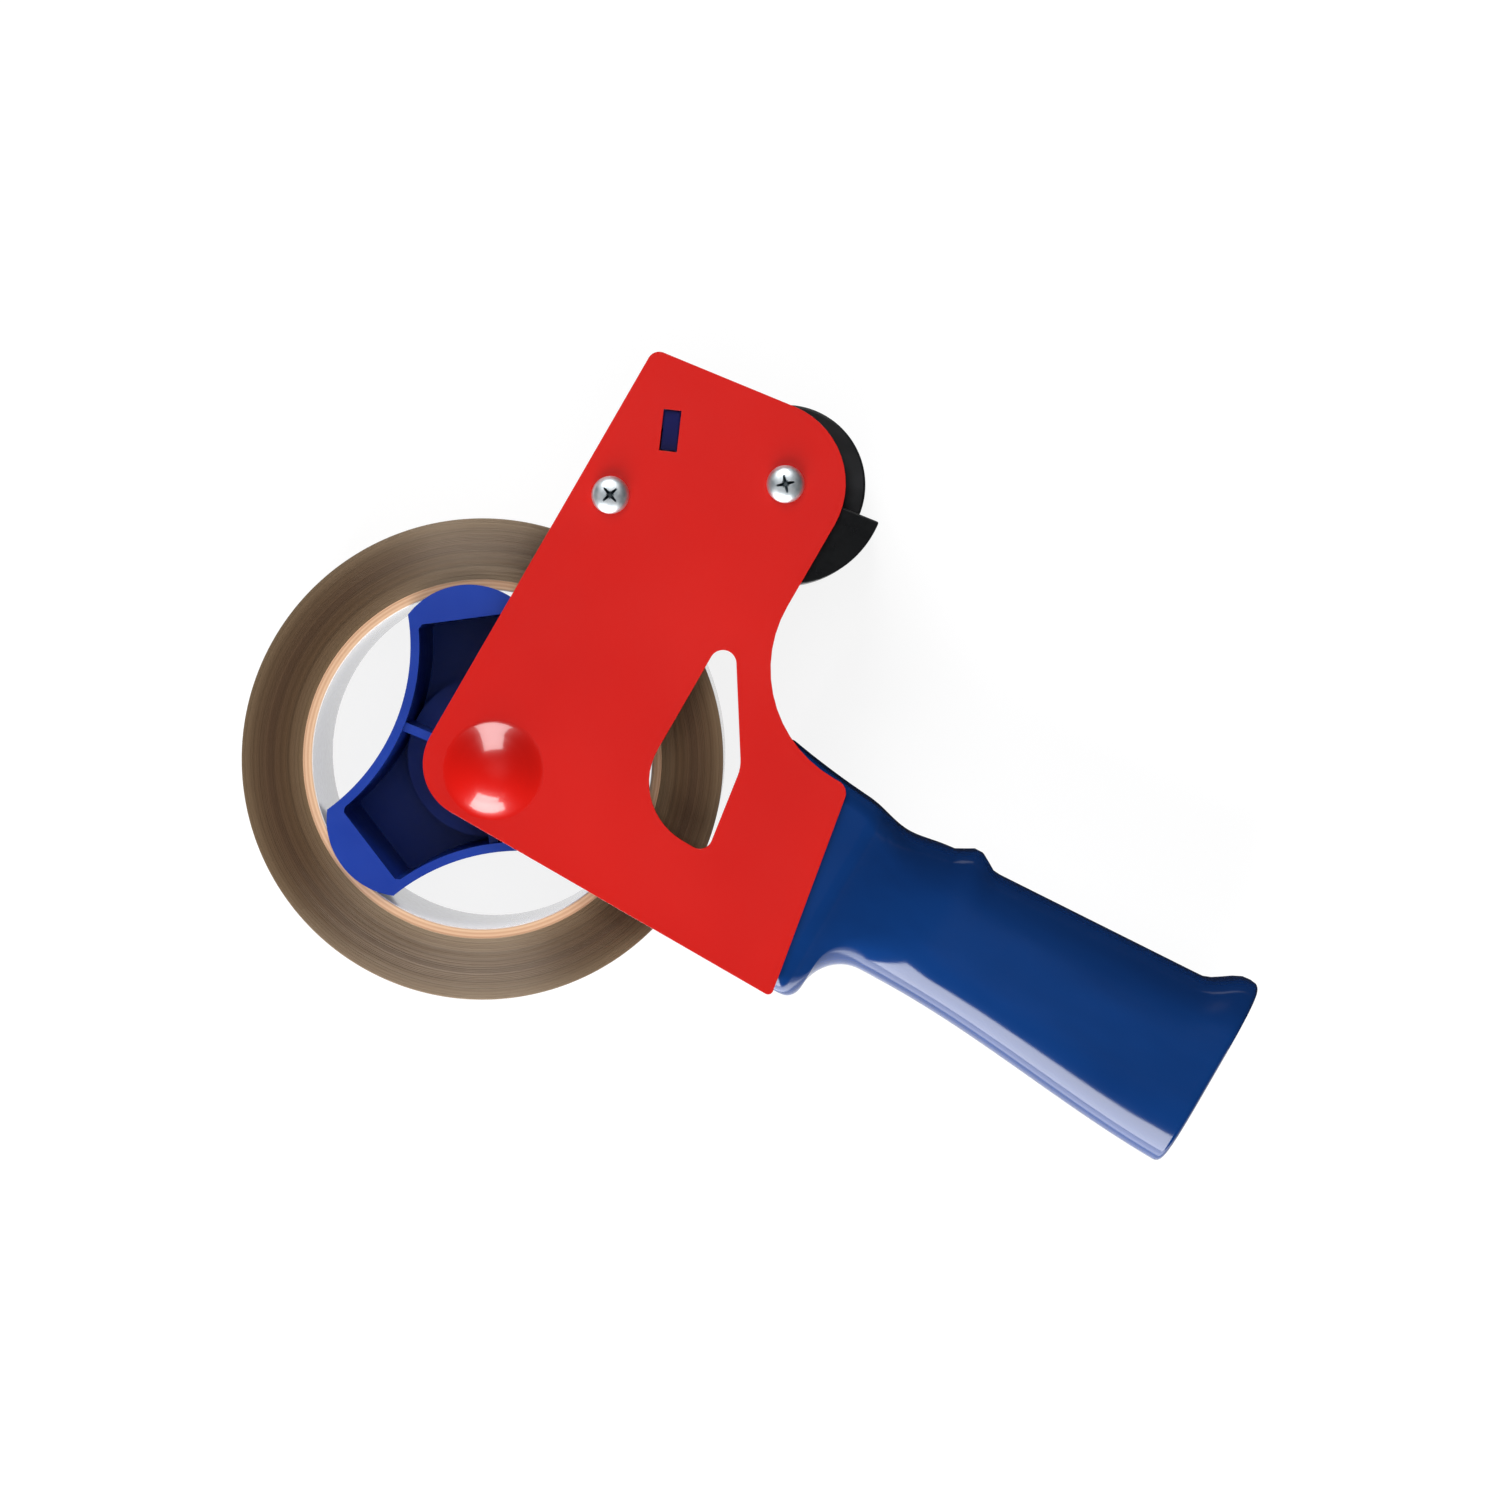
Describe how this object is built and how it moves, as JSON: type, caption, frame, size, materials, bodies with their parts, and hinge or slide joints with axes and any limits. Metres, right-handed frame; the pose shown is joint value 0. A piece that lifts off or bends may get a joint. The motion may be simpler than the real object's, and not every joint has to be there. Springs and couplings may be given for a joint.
{
  "type": "tape dispenser",
  "caption": "Hand-held packing tape dispenser with a steel side plate, pistol grip, lobed hub holding a roll of brown tape, rubber roller, serrated blade and tension knob.",
  "frame": {"origin": "on the hub axis, in the plane of the open side on which the dispenser lies (the tension knob's closed end)", "axes": "+X along the grip away from the hub, +Y from the hub towards the nose, +Z along the hub axis from the open side to the side plate"},
  "size_m": [0.2326, 0.1591, 0.0597],
  "materials": {
    "red_paint": "gloss",
    "handle_plastic": "satin",
    "hub_plastic": "satin",
    "zinc_plate": "bright zinc",
    "steel": "plain",
    "blade_steel": "ground",
    "black_plastic": "satin",
    "roller_rubber": "matt",
    "fibre": "matt",
    "core_board": "paper lined",
    "brown_tape": "smooth film, matt wound sides"
  },
  "bodies": {
    "frame": {"side_plate": "red_paint", "plate_studs": "steel", "stud_nuts": "zinc_plate", "handle_near_shell": "handle_plastic", "handle_far_shell": "handle_plastic", "handle_screws": "zinc_plate", "hub_axle": "steel", "friction_washer": "fibre", "hub_washer": "zinc_plate", "tension_spring": "steel", "blade_carrier": "handle_plastic", "carrier_screw": "zinc_plate", "blade": "blade_steel", "blade_screws": "zinc_plate", "tongue_pin": "steel", "tongue_spring": "steel", "roller_axle": "steel", "roller_screw": "zinc_plate", "roller_clip": "steel", "roller_guard": "black_plastic"},
    "hub": {"hub_rim": "hub_plastic", "hub_flange": "hub_plastic", "hub_core": "hub_plastic", "hub_well": "hub_plastic"},
    "roll": {"tape_core": "core_board", "tape_winding": "brown_tape"},
    "knob_seat": {"knob_washer": "zinc_plate"},
    "knob": {"tension_knob": "hub_plastic", "knob_insert": "zinc_plate"},
    "tongue": {"tongue": "blade_steel"},
    "roller": {"roller_core": "black_plastic", "roller_sleeve": "roller_rubber"}
  },
  "joints": [
    {"name": "hub_spin", "type": "hinge", "parent": "frame", "child": "hub", "pos_m": [0, 0, 0], "axis": [0, 0, 1], "continuous": true},
    {"name": "roll_off", "type": "slide", "parent": "hub", "child": "roll", "axis": [0, 0, -1], "range_m": [0, 0.055]},
    {"name": "knob_travel", "type": "slide", "parent": "frame", "child": "knob_seat", "axis": [0, 0, 1], "range_m": [0, 0.0025], "deforming": ["tension_spring"]},
    {"name": "knob_turn", "type": "hinge", "parent": "knob_seat", "child": "knob", "pos_m": [0, 0, 0], "axis": [0, 0, 1], "range_deg": [0, 720]},
    {"name": "tongue_pivot", "type": "hinge", "parent": "frame", "child": "tongue", "pos_m": [0.0102, 0.07248, 0], "axis": [0, 0, 1], "range_deg": [0, 16], "stiffness_Nm_per_rad": 0.02, "springref_deg": -28.65},
    {"name": "roller_spin", "type": "hinge", "parent": "frame", "child": "roller", "pos_m": [0.0281, 0.08718, 0], "axis": [0, 0, 1], "continuous": true}
  ],
  "couplings": [
    {"joint": "knob_turn", "follows": "knob_travel", "rad_per_m": 5026.5}
  ]
}
